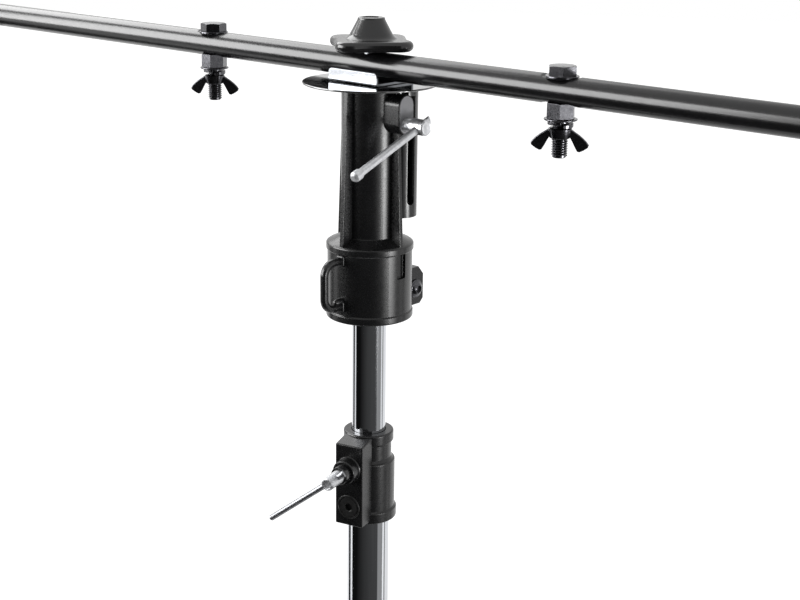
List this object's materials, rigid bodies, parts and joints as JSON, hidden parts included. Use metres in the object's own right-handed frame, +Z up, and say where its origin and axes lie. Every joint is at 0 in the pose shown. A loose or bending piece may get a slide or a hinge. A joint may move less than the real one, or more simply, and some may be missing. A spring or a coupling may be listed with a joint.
{
  "type": "lighting T-bar stand",
  "caption": "Telescopic lighting stand with a T-bar head, fixture bolts with wing nuts, a clamp knob and a folding tripod.",
  "frame": {"origin": "on the floor on the mast's axis", "axes": "+Z up along the mast, +X along the crossbar, +Y away from the safety loop"},
  "size_m": [1.2, 1.0206, 1.4363],
  "materials": {
    "bar_paint": "satin black coating",
    "cast_paint": "semi-gloss black over a fine casting grain",
    "disc_black": "glossy black",
    "knob_plastic": "glossy moulded",
    "black_plastic": "matte",
    "black_zinc": "black zinc plated",
    "bright_zinc": "bright zinc plated",
    "chrome": "polished",
    "nylon": "natural nylon",
    "brass": "turned",
    "rubber": "matte"
  },
  "bodies": {
    "base": {"lower_mast_tube": "chrome", "mast_end_cap": "black_plastic", "mast_clamp": "cast_paint", "mast_bush": "nylon", "clamp_plug": "black_plastic", "lower_hub": "cast_paint", "hub_rivets": "bright_zinc"},
    "upper_mast": {"upper_mast_tube": "chrome", "upper_tube_plug": "black_plastic", "tube_slider": "nylon"},
    "head_washer": {"thrust_washer": "nylon"},
    "head": {"head_casting": "cast_paint", "head_liner": "nylon", "top_disc": "disc_black", "slotted_guide": "bar_paint", "safety_eyelet": "cast_paint", "collar_bolt": "black_zinc", "clamp_stud": "bright_zinc"},
    "crossbar": {"crossbar_tube": "bar_paint", "crossbar_caps": "black_plastic", "fixture_bolts": "black_zinc", "bolt_washers": "black_zinc", "lock_nuts": "black_zinc", "saddle_channel": "bright_zinc"},
    "knob_ring": {"knob_washer": "black_zinc"},
    "knob": {"top_knob": "knob_plastic"},
    "head_pad": {"head_screw_pad": "brass"},
    "head_screw": {"head_screw": "chrome"},
    "head_bar": {"head_tommy_bar": "chrome"},
    "clamp_pad": {"clamp_pad": "brass"},
    "clamp_screw": {"clamp_screw": "chrome"},
    "clamp_bar": {"clamp_tommy_bar": "chrome"},
    "leg_collar": {"leg_collar": "cast_paint", "leg_hinge_pins": "bright_zinc"},
    "leg_pad": {"leg_screw_pad": "brass"},
    "leg_screw": {"leg_screw": "chrome"},
    "leg_bar": {"leg_tommy_bar": "chrome"},
    "washers_1": {"fixture_washers_1": "black_zinc"},
    "wing_1": {"wing_nut_1": "black_zinc"},
    "washers_2": {"fixture_washers_2": "black_zinc"},
    "wing_2": {"wing_nut_2": "black_zinc"},
    "washers_3": {"fixture_washers_3": "black_zinc"},
    "wing_3": {"wing_nut_3": "black_zinc"},
    "washers_4": {"fixture_washers_4": "black_zinc"},
    "wing_4": {"wing_nut_4": "black_zinc"},
    "leg_1": {"leg_tube_1": "chrome", "leg_end_1": "cast_paint", "brace_clip_1": "bright_zinc", "leg_foot_1": "rubber"},
    "brace_1": {"brace_1": "bright_zinc"},
    "leg_2": {"leg_tube_2": "chrome", "leg_end_2": "cast_paint", "brace_clip_2": "bright_zinc", "leg_foot_2": "rubber"},
    "brace_2": {"brace_2": "bright_zinc"},
    "leg_3": {"leg_tube_3": "chrome", "leg_end_3": "cast_paint", "brace_clip_3": "bright_zinc", "leg_foot_3": "rubber"},
    "brace_3": {"brace_3": "bright_zinc"}
  },
  "joints": [
    {"name": "mast_extend", "type": "slide", "parent": "base", "child": "upper_mast", "axis": [0, 0, 1], "range_m": [-0.095, 0.6]},
    {"name": "head_lift", "type": "slide", "parent": "upper_mast", "child": "head_washer", "axis": [0, 0, 1], "range_m": [0, 0.15]},
    {"name": "head_swivel", "type": "hinge", "parent": "head_washer", "child": "head", "pos_m": [0, 0, 1.1982], "axis": [0, 0, 1], "range_deg": [-180, 180]},
    {"name": "crossbar_swivel", "type": "hinge", "parent": "head", "child": "crossbar", "pos_m": [0, 0, 1.4], "axis": [0, 0, 1], "range_deg": [-90, 90]},
    {"name": "knob_rise", "type": "slide", "parent": "head", "child": "knob_ring", "axis": [0, 0, 1], "range_m": [0, 0.00527]},
    {"name": "knob_turn", "type": "hinge", "parent": "knob_ring", "child": "knob", "pos_m": [0, 0, 1.4], "axis": [0, 0, 1], "range_deg": [0, 1080]},
    {"name": "head_pad_out", "type": "slide", "parent": "head", "child": "head_pad", "axis": [1, 0, 0], "range_m": [0, 0.000853]},
    {"name": "head_screw_turn", "type": "hinge", "parent": "head_pad", "child": "head_screw", "pos_m": [0.02175, 0, 1.3575], "axis": [1, 0, 0], "range_deg": [0, 200]},
    {"name": "head_bar_slide", "type": "slide", "parent": "head_screw", "child": "head_bar", "axis": [0, 0.9336, 0.3584], "range_m": [0, 0.062]},
    {"name": "clamp_pad_out", "type": "slide", "parent": "base", "child": "clamp_pad", "axis": [0.2419, -0.9703, 0], "range_m": [0, 0.00302]},
    {"name": "clamp_screw_turn", "type": "hinge", "parent": "clamp_pad", "child": "clamp_screw", "pos_m": [0.00968, -0.03881, 1.0747], "axis": [0.2419, -0.9703, 0], "range_deg": [0, 720]},
    {"name": "clamp_bar_slide", "type": "slide", "parent": "clamp_screw", "child": "clamp_bar", "axis": [0.7646, 0.1906, 0.6157], "range_m": [0, 0.062]},
    {"name": "leg_collar_slide", "type": "slide", "parent": "base", "child": "leg_collar", "axis": [0, 0, 1], "range_m": [0, 0.2317]},
    {"name": "leg_1_fold", "type": "hinge", "parent": "leg_collar", "child": "leg_1", "pos_m": [0.042, 0, 0.29258], "axis": [0, 1, 0], "range_deg": [0, 58]},
    {"name": "brace_1_fold", "type": "hinge", "parent": "leg_1", "child": "brace_1", "pos_m": [0.24292, 0, 0.17658], "axis": [0, -1, 0], "range_deg": [0, 116]},
    {"name": "leg_2_fold", "type": "hinge", "parent": "leg_collar", "child": "leg_2", "pos_m": [-0.021, 0.03637, 0.29258], "axis": [-0.866, -0.5, 0], "range_deg": [0, 58]},
    {"name": "brace_2_fold", "type": "hinge", "parent": "leg_2", "child": "brace_2", "pos_m": [-0.12146, 0.21037, 0.17658], "axis": [0.866, 0.5, 0], "range_deg": [0, 116]},
    {"name": "leg_3_fold", "type": "hinge", "parent": "leg_collar", "child": "leg_3", "pos_m": [-0.021, -0.03637, 0.29258], "axis": [0.866, -0.5, 0], "range_deg": [0, 58]},
    {"name": "brace_3_fold", "type": "hinge", "parent": "leg_3", "child": "brace_3", "pos_m": [-0.12146, -0.21037, 0.17658], "axis": [-0.866, 0.5, 0], "range_deg": [0, 116]},
    {"name": "leg_pad_out", "type": "slide", "parent": "leg_collar", "child": "leg_pad", "axis": [0.5, 0.866, 0], "range_m": [0, 0.00302]},
    {"name": "leg_screw_turn", "type": "hinge", "parent": "leg_pad", "child": "leg_screw", "pos_m": [0.015, 0.02598, 0.31658], "axis": [0.5, 0.866, 0], "range_deg": [0, 720]},
    {"name": "leg_bar_slide", "type": "slide", "parent": "leg_screw", "child": "leg_bar", "axis": [0, 0, 1], "range_m": [0, 0.026]},
    {"name": "washers_1_down", "type": "slide", "parent": "crossbar", "child": "washers_1", "axis": [0, 0, -1], "range_m": [0, 0.01052]},
    {"name": "wing_1_turn", "type": "hinge", "parent": "washers_1", "child": "wing_1", "pos_m": [-0.54, 0, 1.37], "axis": [0, 0, -1], "range_deg": [0, 2160]},
    {"name": "washers_2_down", "type": "slide", "parent": "crossbar", "child": "washers_2", "axis": [0, 0, -1], "range_m": [0, 0.01052]},
    {"name": "wing_2_turn", "type": "hinge", "parent": "washers_2", "child": "wing_2", "pos_m": [-0.18, 0, 1.37], "axis": [0, 0, -1], "range_deg": [0, 2160]},
    {"name": "washers_3_down", "type": "slide", "parent": "crossbar", "child": "washers_3", "axis": [0, 0, -1], "range_m": [0, 0.01052]},
    {"name": "wing_3_turn", "type": "hinge", "parent": "washers_3", "child": "wing_3", "pos_m": [0.18, 0, 1.37], "axis": [0, 0, -1], "range_deg": [0, 2160]},
    {"name": "washers_4_down", "type": "slide", "parent": "crossbar", "child": "washers_4", "axis": [0, 0, -1], "range_m": [0, 0.01052]},
    {"name": "wing_4_turn", "type": "hinge", "parent": "washers_4", "child": "wing_4", "pos_m": [0.54, 0, 1.37], "axis": [0, 0, -1], "range_deg": [0, 2160]}
  ],
  "couplings": [
    {"joint": "knob_rise", "follows": "knob_turn", "m_per_rad": 0.00027852},
    {"joint": "head_pad_out", "follows": "head_screw_turn", "m_per_rad": 0.00023873},
    {"joint": "clamp_pad_out", "follows": "clamp_screw_turn", "m_per_rad": 0.00023873},
    {"joint": "leg_1_fold", "follows": "leg_collar_slide", "rad_per_m": 4.369},
    {"joint": "brace_1_fold", "follows": "leg_collar_slide", "rad_per_m": 8.7379},
    {"joint": "leg_2_fold", "follows": "leg_collar_slide", "rad_per_m": 4.369},
    {"joint": "brace_2_fold", "follows": "leg_collar_slide", "rad_per_m": 8.7379},
    {"joint": "leg_3_fold", "follows": "leg_collar_slide", "rad_per_m": 4.369},
    {"joint": "brace_3_fold", "follows": "leg_collar_slide", "rad_per_m": 8.7379},
    {"joint": "leg_pad_out", "follows": "leg_screw_turn", "m_per_rad": 0.00023873},
    {"joint": "washers_1_down", "follows": "wing_1_turn", "m_per_rad": 0.00027852},
    {"joint": "washers_2_down", "follows": "wing_2_turn", "m_per_rad": 0.00027852},
    {"joint": "washers_3_down", "follows": "wing_3_turn", "m_per_rad": 0.00027852},
    {"joint": "washers_4_down", "follows": "wing_4_turn", "m_per_rad": 0.00027852}
  ]
}
